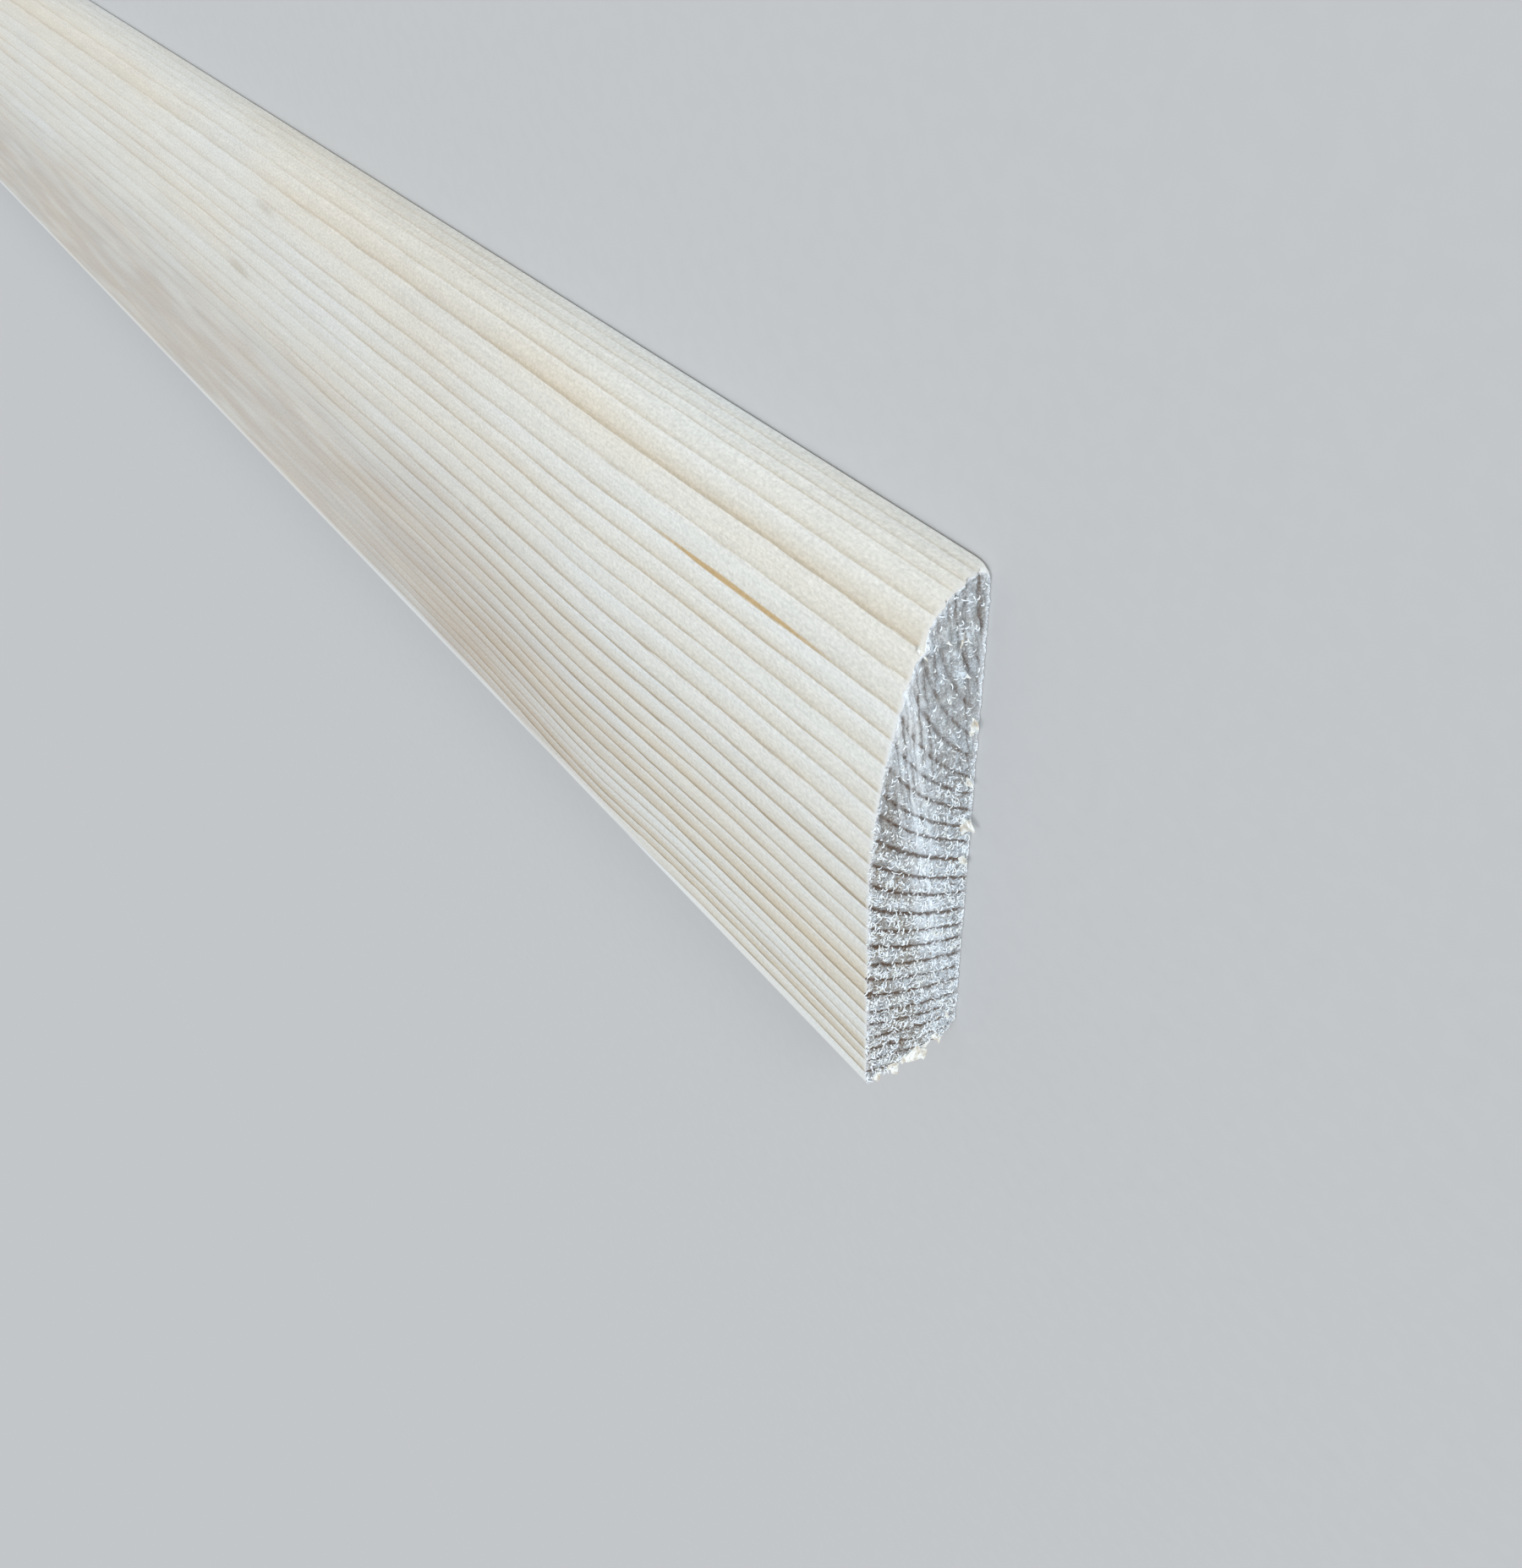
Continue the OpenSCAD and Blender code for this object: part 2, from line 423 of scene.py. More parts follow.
def sawn_end_grain(colours):
    """Pine end grain from a coarse saw: a dull felt of broken fibre tips, painted white where they catch
    the light, with painted brown-grey shade in the hollows between them and a torn dark groove along each
    ring's line."""
    material, tree = new_material("sawn_end_grain")
    place = add(tree, "ShaderNodeTexCoord", out="Object")
    split = add(tree, "ShaderNodeSeparateXYZ", {0: place}).node.outputs
    across, up = split["Y"], split["Z"]
    ring, tear, rim = (
        add(tree, "ShaderNodeAttribute", attribute_name=name, out="Fac")
        for name in ("ring", "tear", "rim"))

    # Felt of fibre tips about 0.2 mm apart, in tufts of about 0.9 mm.
    felt = patches_of(tree, place, (0.2, 0.2, 0.2), detail=2.0, roughness=0.6)
    tufts = patches_of(tree, place, (0.9, 0.9, 0.9), detail=2.0)
    height = add(tree, MATH, {0: tear, 1: 0.5, 2: felt}, operation="MULTIPLY_ADD")
    tips = add(tree, MAP_RANGE, {"Value": height, "From Min": 0.34, "From Max": 0.66})
    # Under the crown the saw tore less, so the painted shade in the hollows is lighter there.
    under_crown = add(tree, MAP_RANGE, {"Value": across, "From Min": -2 * MM, "From Max": 14 * MM})
    less_shade_and_stain = add(tree, MATH, {0: under_crown, 1: 0.58}, operation="MULTIPLY")
    tips = add(tree, MATH, {0: tips, 1: less_shade_and_stain}, operation="MAXIMUM")
    # Painted light and shade: low places of the relief take the dark hollow colour, and high ones the
    # pale, lit tip colour.
    wood = add(tree, MIX, {
        0: tips, MIX_A: opaque(colours.painted_hollow_shade), MIX_B: opaque(colours.sawn_tip)},
        **COLOUR_MIX)
    tone = add(tree, MAP_RANGE, {
        "Value": tufts, "From Min": 0.3, "From Max": 0.7, "To Min": 0.78, "To Max": 1.22})
    wood = add(tree, VECTOR_MATH, {0: wood, "Scale": tone}, operation="SCALE")

    # The teeth burnished one track across the end and left faint ones beside it; their sheen is painted
    # in as a pale, bluish colour.
    lean = add(tree, MATH, {0: across, 1: -TRACK_LEAN, 2: up}, operation="MULTIPLY_ADD")
    aside = add(tree, MATH, {0: lean, 1: TRACK_HEIGHT * MM}, operation="SUBTRACT")
    aside = add(tree, MATH, {0: aside}, operation="ABSOLUTE")
    track = add(tree, MAP_RANGE, {
        "Value": aside, "From Min": 3.0 * MM, "From Max": 0.2 * MM, "To Min": 0.0, "To Max": 0.95},
        interpolation_type="SMOOTHSTEP")
    # Scratches about 0.45 mm apart and 14 mm long follow the same lean.
    tooth_place = add(tree, "ShaderNodeCombineXYZ", {"Y": across, "Z": lean})
    teeth = patches_of(tree, tooth_place, (14, 14, 0.45), detail=2.0)
    scratch = add(tree, MAP_RANGE, {
        "Value": teeth, "From Min": 0.35, "From Max": 0.65, "To Min": 0.15, "To Max": 1.0})
    reach = add(tree, MAP_RANGE, {
        "Value": across, "From Min": -22 * MM, "From Max": -10 * MM, "To Min": 0.15, "To Max": 1.0})
    for share in (scratch, reach):
        track = add(tree, MATH, {0: track, 1: share}, operation="MULTIPLY")
    wood = add(tree, MIX, {0: track, MIX_A: wood, MIX_B: opaque(colours.burnished_track_sheen)}, **COLOUR_MIX)

    # Brown patches, about 3 mm wide, lie beside the face and, weaker, under the crown.
    stain = patches_of(tree, place, (3, 3, 3))
    stain = add(tree, MAP_RANGE, {
        "Value": stain, "From Min": 0.35, "From Max": 0.65, "To Min": 0.2, "To Max": 1.0})
    beside = add(tree, MAP_RANGE, {
        "Value": lean, "From Min": (TRACK_HEIGHT - 0.5) * MM, "From Max": (TRACK_HEIGHT + 3.0) * MM})
    beside = add(tree, MATH, {0: beside, 1: less_shade_and_stain}, operation="MAXIMUM")
    stain = add(tree, MATH, {0: stain, 1: beside}, operation="MULTIPLY")
    wood = tinted(tree, wood, stain, STAIN_TINT)

    # The tufts break up the rings' dark lines, which are darkest beside the face.
    pull = add(tree, MAP_RANGE, {
        "Value": tufts, "From Min": 0.3, "From Max": 0.7, "To Min": -0.05, "To Max": 0.05})
    pulled = add(tree, MATH, {0: ring, 1: pull}, operation="ADD")
    part = add(tree, MATH, {0: pulled}, operation="FRACT")
    late = add(tree, RAMP, {0: part}, stops=(
        (0.0, 0.5), (0.05, 0.0), (0.50, 0.03), (0.76, 0.28), (0.86, 0.95), (0.97, 1.0), (1.0, 0.5)))
    deep = add(tree, MAP_RANGE, {
        "Value": up, "From Min": 1 * MM, "From Max": 10 * MM, "To Min": 0.85, "To Max": 1.0})
    # Under the crown the teeth wiped the lines out in places, and scored dark ones of their own.
    patchy = add(tree, MAP_RANGE, {
        "Value": teeth, "From Min": 0.62, "From Max": 0.35, "To Min": 0.1, "To Max": 1.0})
    patchy = add(tree, MIX, {0: under_crown, 2: 1.0, 3: patchy})
    for share in (deep, patchy):
        late = add(tree, MATH, {0: late, 1: share}, operation="MULTIPLY")
    scored = add(tree, MAP_RANGE, {
        "Value": teeth, "From Min": 0.48, "From Max": 0.34, "To Min": 0.0, "To Max": 0.6})
    scored = add(tree, MATH, {0: scored, 1: under_crown}, operation="MULTIPLY")
    late = add(tree, MATH, {0: late, 1: scored}, operation="MAXIMUM")
    broken = add(tree, MAP_RANGE, {
        "Value": felt, "From Min": 0.36, "From Max": 0.66, "To Min": 1.0, "To Max": 0.75})
    late = add(tree, MATH, {0: late, 1: broken}, operation="MULTIPLY")
    crushed = add(tree, MATH, {0: rim, 1: tips}, operation="MULTIPLY")
    for amount, colour in ((late, colours.sawn_line), (crushed, colours.torn_fibre)):
        wood = add(tree, MIX, {0: amount, MIX_A: wood, MIX_B: opaque(colour)}, **COLOUR_MIX)
    bump = add(tree, "ShaderNodeBump", {"Height": felt, "Strength": 0.8, "Distance": 0.2 * MM})
    surface(tree, {"Base Color": wood, "Roughness": 0.95, "IOR": 1.4, "Normal": bump})
    return material


def torn_wood(name, pale, deep):
    """Loose pine that the saw tore out, in fibres or flakes: dull and pale, a little deeper in places."""
    material, tree = new_material(name)
    place = add(tree, "ShaderNodeTexCoord", out="Object")
    # One fibre differs from the next, about 0.6 mm away.
    amount = patches_of(tree, place, (0.6, 0.6, 0.6))
    amount = add(tree, MAP_RANGE, {"Value": amount, "From Min": 0.3, "From Max": 0.55})
    wood = add(tree, MIX, {0: amount, MIX_A: opaque(deep), MIX_B: opaque(pale)}, **COLOUR_MIX)
    surface(tree, {"Base Color": wood, "Roughness": 0.9, "IOR": 1.4})
    return material


def grain_wander(x, y):
    """How far the grain is pulled towards the square edge at places on the board, in millimetres."""
    from_end = HALF_LENGTH - x
    low = (ROUND_EDGE - y) / (ROUND_EDGE - SQUARE_EDGE)
    # One dip a little way in from the near end, deeper towards the square edge.
    dip = (0.4 + 1.6 * low ** 1.5) * np.exp(-((from_end - 44 - 13 * low) / 19) ** 2)
    # Then the upper lines rise, and all of them sway slowly along the length.
    rise = -0.9 * (1 - 0.8 * low) * np.clip((from_end - 60) / 110, 0, 1)
    sway = 0.8 * np.sin((from_end - 170) / 95) * np.clip((from_end - 170) / 200, 0, 1)
    sway += 1.1 * np.sin((from_end - 170) / 260 + low) * np.clip((from_end - 170) / 300, 0, 1)
    ripple = 0.04 * np.sin(from_end / 4.1 + 9 * low) + 0.05 * np.sin(from_end / 7.3 + 23 * low)
    wander = dip + rise + sway + ripple
    for distance, across, half_length, half_width in PIN_KNOTS:
        near = np.exp(-((from_end - distance) / (1.6 * half_length)) ** 2)
        beside = (across - y) / half_width
        wander = wander + 0.35 * near * beside * np.exp(-(beside / 2) ** 2)
    return wander


def ring_number(x, y, z):
    """Rings counted out from the pith at places in millimetres; a dark line ends each whole one."""
    radius = np.hypot(y + grain_wander(x, y) - PITH_Y, z - PITH_Z)
    count = np.interp(radius, RING_RADII, RING_COUNTS)
    return count + 0.05 * np.sin(2.3 * count)


def face_heights(section, across):
    """Height of the face above the back at places across the board, in millimetres."""
    edge = section.face_edge_radius / MM
    nose = section.nose_radius / MM
    crown_start = SQUARE_EDGE + section.face_flat / MM
    nose_centre = ROUND_EDGE - nose
    reach = nose_centre - crown_start
    crown = (THICKNESS ** 2 + reach ** 2 - nose ** 2) / (2 * (THICKNESS - nose))
    nose_start = crown_start + reach * crown / (crown - nose)

    def arc(radius, centre):
        return np.sqrt(np.clip(radius ** 2 - (across - centre) ** 2, 0, None))

    heights = np.full_like(across, THICKNESS)
    eased = across < SQUARE_EDGE + edge
    heights[eased] = (THICKNESS - edge + arc(edge, SQUARE_EDGE + edge))[eased]
    crowned = across > crown_start
    heights[crowned] = (THICKNESS - crown + arc(crown, crown_start))[crowned]
    nosed = across > nose_start
    heights[nosed] = arc(nose, nose_centre)[nosed]
    return heights, nose_start


def section_grid(section, tip_ease):
    """Places across the board, closest where its outline turns, with the rows of heights at each."""
    ease = section.back_edge_radius / MM
    nose = section.nose_radius / MM
    nose_centre = ROUND_EDGE - nose
    nose_start = face_heights(section, np.zeros(1))[1]
    eased = SQUARE_EDGE + ease * (1 - np.cos(np.linspace(0, math.pi / 2, EASE_STEPS + 1)[:-1]))
    first = SQUARE_EDGE + ease
    straight = np.linspace(first, nose_start, round((nose_start - first) / COLUMN_STEP) + 1)[:-1]
    turn = math.asin((nose_start - nose_centre) / nose)
    last_turn = math.acos(tip_ease / nose)
    nosed = nose_centre + nose * np.sin(np.linspace(turn, last_turn, NOSE_STEPS + 1))
    across = np.concatenate([eased, straight, nosed])
    top = face_heights(section, across)[0]
    bottom = np.zeros_like(across)
    low = across < first
    bottom[low] = ease - np.sqrt(np.clip(ease ** 2 - (across[low] - first) ** 2, 0, None))
    last = across[-1] - tip_ease
    high = across > last
    bottom[high] = tip_ease - np.sqrt(np.clip(tip_ease ** 2 - (across[high] - last) ** 2, 0, None))
    rows = np.linspace(0, 1, ROWS + 1)
    heights = bottom[:, None] + (top - bottom)[:, None] * rows[None, :]
    return across, heights


def torn_relief(sawn, places, rings, inset, seed, torn_places):
    """How far each point of a sawn end stands out, in millimetres, for (across, height) places. The
    grooves fade out near the outline, which inset gives the distance to."""
    tear, groove, marks = (v / MM for v in (sawn.tear_depth, sawn.ring_groove, sawn.saw_marks))
    relief = np.zeros(len(places))
    for i, ((y, z), ring) in enumerate(zip(places, rings)):
        part = ring % 1
        coarse = noise.noise(Vector((y / 1.1, z / 1.1, seed)))
        medium = noise.noise(Vector((y / 0.55, z / 0.45, seed + 10)))
        fine = noise.noise(Vector((y / 0.3, z / 0.25, seed + 20)))
        tooth = noise.noise(Vector((y / 16, (z - TOOTH_LEAN * y) / 0.7, seed + 30)))
        rough = tear * (0.9 * coarse + medium + 0.8 * fine)
        ridge = marks * (1 - 2 * abs(tooth))
        line = -groove * math.exp(-((part - 0.93) / 0.09) ** 2) + 0.5 * groove * part
        relief[i] = rough + ridge + line * min(1.0, 0.1 + inset[i] / 0.8)
    for y, z, radius, rise in torn_places:
        away = np.hypot(places[:, 0] - y, places[:, 1] - z) / radius
        relief += rise * np.exp(-away ** 2)
    return relief


def board_mesh(section, sawn):
    """The whole board as one closed mesh, with its rings, its tear and its own bake map."""
    across, heights = section_grid(section, WORN_TIP_EASE)
    columns = len(across) - 1
    per_column = ROWS + 1

    def listed(across, heights):
        cells = [(across[i], heights[i, j]) for i in range(columns) for j in range(per_column)]
        return np.array(cells + [(across[columns], heights[columns, 0])])

    grid = listed(across, heights)
    tip = len(grid) - 1

    def at(i, j):
        return tip if i == columns else i * per_column + j

    edge = [at(i, 0) for i in range(columns + 1)]
    edge += [at(i, ROWS) for i in range(columns - 1, -1, -1)]
    edge += [at(0, j) for j in range(ROWS - 1, 0, -1)]
    edge = np.array(edge)
    around = len(edge)
    worn = grid[edge]
    sharp = listed(*section_grid(section, TIP_EASE))[edge]

    top = np.append(np.repeat(heights[:columns, -1], per_column), heights[columns, -1])
    bottom = np.append(np.repeat(heights[:columns, 0], per_column), heights[columns, 0])
    inset = np.minimum(np.minimum(top - grid[:, 1], grid[:, 1] - bottom), grid[:, 0] - SQUARE_EDGE)
    rim_share = np.clip(1 - inset / RIM_WIDTH, 0, 1)

    ends = []
    for way, seed, torn in ((1, sawn.seed, TORN_PLACES), (-1, sawn.seed + 50, ())):
        x = np.full(len(grid), way * HALF_LENGTH)
        rings = ring_number(x, grid[:, 0], grid[:, 1])
        relief = torn_relief(sawn, grid, rings, inset, seed, torn)
        ends.append((way, rings, relief))

    length = 2 * HALF_LENGTH
    steps = list(END_STEPS)
    steps += list(np.arange(END_STEPS[-1] + SHOWN_STEP, SHOWN_LENGTH, SHOWN_STEP))
    steps += list(np.arange(steps[-1] + PLAIN_STEP / 2, length - PLAIN_STEP / 2, PLAIN_STEP))
    steps += [length - step for step in reversed(END_STEPS)]

    points, rings, tear, rims = [], [], [], []
    for way, end_rings, relief in ends:
        points.append(np.column_stack([way * (HALF_LENGTH + relief), grid]))
        rings.append(end_rings)
        tear.append(relief)
        rims.append(rim_share)
    for step in steps:
        x = np.full(around, HALF_LENGTH - step)
        whole = min(1.0, min(step, length - step) / WEAR_FADE)
        outline = worn + (sharp - worn) * math.sqrt(1 - (1 - whole) ** 2)
        shift = np.zeros(around)
        for way, _, relief in ends:
            from_end = step if way > 0 else length - step
            shift += way * relief[edge] * max(0.0, 1 - from_end / EDGE_FADE)
        points.append(np.column_stack([x + shift, outline]))
        rings.append(ring_number(x, outline[:, 0], outline[:, 1]))
        tear.append(np.zeros(around))
        rims.append(np.zeros(around))

    count = len(grid)
    loops = [edge] + [2 * count + k * around + np.arange(around) for k in range(len(steps))]
    loops.append(edge + count)

    faces, maps = [], []
    # Bake map: the two sawn ends lie side by side under the board, which is unrolled round its girth.
    gap = MAP_GAP
    for end, (way, _, _) in enumerate(ends):
        left = gap + 0.5 * end
        flat = np.column_stack([
            left + (grid[:, 0] - SQUARE_EDGE) / (ROUND_EDGE - SQUARE_EDGE) * (0.5 - 2 * gap),
            gap + grid[:, 1] / THICKNESS * (END_ROOM - 2 * gap)])
        for i in range(columns):
            for j in range(ROWS):
                corners = [at(i, j), at(i + 1, j), at(i + 1, j + 1), at(i, j + 1)]
                if i + 1 == columns:
                    corners = [at(i, j), tip, at(i, j + 1)]
                corners = corners[::way]
                faces.append([c + end * count for c in corners])
                maps.extend(flat[c] for c in corners)
    end_faces = len(faces)

    walk = np.hypot(*(np.roll(sharp, -1, axis=0) - sharp).T)
    girth = np.concatenate([[0], np.cumsum(walk)]) / walk.sum()
    v = END_ROOM + gap + girth * (1 - END_ROOM - 2 * gap)
    # The stretch that fills most of the photograph gets a large share of the map's length.
    u = np.interp([0] + steps + [length], [0, SHOWN_LENGTH, length], [0, SHOWN_SHARE, 1])
    u = gap + (1 - 2 * gap) * u
    for k in range(len(loops) - 1):
        this, following = loops[k], loops[k + 1]
        for a in range(around):
            b = (a + 1) % around
            faces.append([this[a], following[a], following[b], this[b]])
            maps.extend([(u[k], v[a]), (u[k + 1], v[a]), (u[k + 1], v[a + 1]), (u[k], v[a + 1])])

    mesh = bpy.data.meshes.new("plank_mesh")
    mesh.from_pydata((np.concatenate(points) * MM).tolist(), [], [[int(c) for c in f] for f in faces])
    mesh.update(calc_edges=True)
    for name, values in (("ring", rings), ("tear", tear), ("rim", rims)):
        attribute = mesh.attributes.new(name, "FLOAT", "POINT")
        attribute.data.foreach_set("value", np.concatenate(values).astype(np.float32))
    bake = mesh.uv_layers.new(name="OFBake")
    bake.data.foreach_set("uv", np.array(maps, dtype=np.float32).ravel())
    materials = np.ones(len(faces), dtype=np.int32)
    materials[end_faces:] = 0
    mesh.polygons.foreach_set("material_index", materials)
    mesh.polygons.foreach_set("use_smooth", np.ones(len(faces), dtype=bool))
    rim = np.zeros(len(mesh.vertices), dtype=bool)
    rim[edge] = True
    rim[edge + count] = True
    pairs = np.zeros(2 * len(mesh.edges), dtype=np.int32)
    mesh.edges.foreach_get("vertices", pairs)
    mesh.edges.foreach_set("use_edge_sharp", rim[pairs.reshape(-1, 2)].all(axis=1))
    if mesh.validate():
        raise RuntimeError("the board's mesh had faces that Blender had to mend")
    return mesh


def place_piece(name, mesh):
    """Put a finished mesh in the scene as a piece that belongs to the board."""
    piece = bpy.data.objects.new(name, mesh)
    bpy.context.scene.collection.objects.link(piece)
    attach(piece, BODY)
    return piece


class PLANK_OT_board(bpy.types.Operator):
    """Build the planed board with its two sawn ends"""
    bl_idname = "plank.board"
    bl_label = "Board"

    def execute(self, context):
        scene = context.scene
        mesh = board_mesh(scene.plank_section, scene.plank_sawn_ends)
        mesh.materials.append(planed_pine(scene.plank_colours))
        mesh.materials.append(sawn_end_grain(scene.plank_colours))
        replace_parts(place_piece("plank_board", mesh), PLANK_NODE)
        return {"FINISHED"}


def fibre_tree(material):
    """Geometry Nodes that grow a torn fibre at seeded points of a surface and drop the surface."""
    tree = bpy.data.node_groups.new("torn_fibres", "GeometryNodeTree")
    sockets = {}
    inputs = (
        ("Geometry", "NodeSocketGeometry"), ("Length", "NodeSocketFloat"),
        ("Thickness", "NodeSocketFloat"), ("Density", "NodeSocketFloat"),
        ("Curl", "NodeSocketFloat"), ("Seed", "NodeSocketInt"))
    for name, kind in inputs:
        sockets[name] = tree.interface.new_socket(name, in_out="INPUT", socket_type=kind)
    tree.interface.new_socket("Geometry", in_out="OUTPUT", socket_type="NodeSocketGeometry")
    given = add(tree, "NodeGroupInput").node.outputs

    # Fibres are few on the dark line of a ring, and stand in tufts about 0.9 mm wide elsewhere.
    ring = add(tree, "GeometryNodeInputNamedAttribute", {"Name": "ring"}, data_type="FLOAT")
    part = add(tree, MATH, {0: ring}, operation="FRACT")
    off_line = add(tree, MAP_RANGE, {
        "Value": part, "From Min": 0.62, "From Max": 0.82, "To Min": 1.0, "To Max": 0.02})
    spot = add(tree, "GeometryNodeInputPosition")
    tufts = add(tree, "ShaderNodeTexNoise", {
        "Vector": spot, "Scale": 1 / (0.9 * MM), "Detail": 1.0}, out="Fac")
    tufted = add(tree, MAP_RANGE, {
        "Value": tufts, "From Min": 0.3, "From Max": 0.7, "To Min": 0.3, "To Max": 1.6})
    # Under the crown they are about a quarter as many.
    across = add(tree, "ShaderNodeSeparateXYZ", {0: spot}, out="Y")
    thinned = add(tree, MAP_RANGE, {
        "Value": across, "From Min": -2 * MM, "From Max": 12 * MM, "To Min": 1.0, "To Max": 0.25})
    density = off_line
    for share in (tufted, thinned, given["Density"]):
        density = add(tree, MATH, {0: density, 1: share}, operation="MULTIPLY")
    scatter = add(tree, "GeometryNodeDistributePointsOnFaces", {
        "Mesh": given["Geometry"], "Density": density, "Seed": given["Seed"]}).node.outputs
    bend = add(tree, "GeometryNodeCurveQuadraticBezier", {
        "Resolution": 3, "Start": (0, 0, -0.15), "Middle": (0.05, 0, 0.45), "End": (0.9, 0, 0.4)})
    spin = add(tree, "FunctionNodeRandomValue", {
        0: (0, 0, 0), 1: (0.5, 0.5, math.tau), "Seed": given["Seed"]}, data_type="FLOAT_VECTOR")
    turned = add(tree, "FunctionNodeRotateRotation", {
        "Rotation": scatter["Rotation"], "Rotate By": spin}, rotation_space="LOCAL")
    grow = add(tree, "FunctionNodeRandomValue", {
        2: 0.35, 3: 1.4, "Seed": given["Seed"]}, data_type="FLOAT", out=1)
    size = add(tree, MATH, {0: grow, 1: given["Length"]}, operation="MULTIPLY")
    planted = add(tree, "GeometryNodeInstanceOnPoints", {
        "Points": scatter["Points"], "Instance": bend, "Rotation": turned, "Scale": size})
    strands = add(tree, "GeometryNodeRealizeInstances", {"Geometry": planted})

    # Each strand curls more towards its free end.
    place = add(tree, "GeometryNodeInputPosition")
    wave = add(tree, "ShaderNodeTexNoise", {
        "Vector": place, "Scale": 1 / (0.35 * MM), "Detail": 1.0}, out="Color")
    bent = add(tree, VECTOR_MATH, {0: wave, 1: (0.5, 0.5, 0.5)}, operation="SUBTRACT")
    along = add(tree, "GeometryNodeSplineParameter", out="Factor")
    for amount in (given["Curl"], along):
        bent = add(tree, VECTOR_MATH, {0: bent, "Scale": amount}, operation="SCALE")
    curled = add(tree, "GeometryNodeSetPosition", {"Geometry": strands, "Offset": bent})
    # No fibre hangs below the back of the board.
    bent_place = add(tree, "GeometryNodeInputPosition")
    lifted = add(tree, VECTOR_MATH, {0: bent_place, 1: (-10, -10, 0.1 * MM)}, operation="MAXIMUM")
    curled = add(tree, "GeometryNodeSetPosition", {"Geometry": curled, "Position": lifted})
    taper = add(tree, MAP_RANGE, {"Value": along, "To Min": 0.5, "To Max": 0.22})
    thick = add(tree, MATH, {0: taper, 1: given["Thickness"]}, operation="MULTIPLY")
    profile = add(tree, "GeometryNodeCurvePrimitiveCircle", {"Resolution": 3, "Radius": 1.0})
    skin = add(tree, "GeometryNodeCurveToMesh", {
        "Curve": curled, "Profile Curve": profile, "Scale": thick, "Fill Caps": True})
    whole = add(tree, "GeometryNodeRealizeInstances", {"Geometry": skin})
    painted = add(tree, "GeometryNodeSetMaterial", {"Geometry": whole, "Material": material})
    add(tree, "NodeGroupOutput", {0: painted})
    return tree, {name: socket.identifier for name, socket in sockets.items()}


class PLANK_OT_fibres(bpy.types.Operator):
    """Grow the torn fibres on the two sawn ends"""
    bl_idname = "plank.fibres"
    bl_label = "Torn fibres"

    def execute(self, context):
        scene = context.scene
        sawn = scene.plank_sawn_ends
        board = scene.objects.get("plank_board")
        if board is None:
            raise RuntimeError("the board is built before its torn fibres")
        form = bmesh.new()
        form.from_mesh(board.data)
        bmesh.ops.delete(form, geom=[f for f in form.faces if f.material_index == 0], context="FACES")
        surface = bpy.data.meshes.new("sawn_surface")
        form.to_mesh(surface)
        form.free()

        colours = scene.plank_colours
        material = torn_wood("torn_pine_fibre", colours.torn_fibre, colours.earlywood)
        tree, sockets = fibre_tree(material)
        host = bpy.data.objects.new("torn_fibres_host", surface)
        scene.collection.objects.link(host)
        grow = host.modifiers.new("torn_fibres", "NODES")
        grow.node_group = tree
        values = {
            "Length": sawn.fibre_length, "Thickness": sawn.fibre_thickness,
            "Density": 1 / sawn.fibre_spacing ** 2, "Curl": 0.5 * sawn.fibre_length, "Seed": sawn.seed}
        for name, value in values.items():
            grow[sockets[name]] = value
        depsgraph = context.evaluated_depsgraph_get()
        mesh = bpy.data.meshes.new_from_object(host.evaluated_get(depsgraph))
        if len(mesh.polygons) == 0:
            raise RuntimeError("no fibres grew on the sawn ends")
        reach = max(abs(vertex.co.x) for vertex in mesh.vertices) / MM - HALF_LENGTH
        if reach > FIBRE_REACH:
            raise RuntimeError(f"the torn fibres stand {reach:.1f} mm out of the sawn ends")
        host.modifiers.remove(grow)
        bpy.data.objects.remove(host)
        mesh.name = "torn_fibres_mesh"
        place_piece("torn_fibres", mesh)
        return {"FINISHED"}


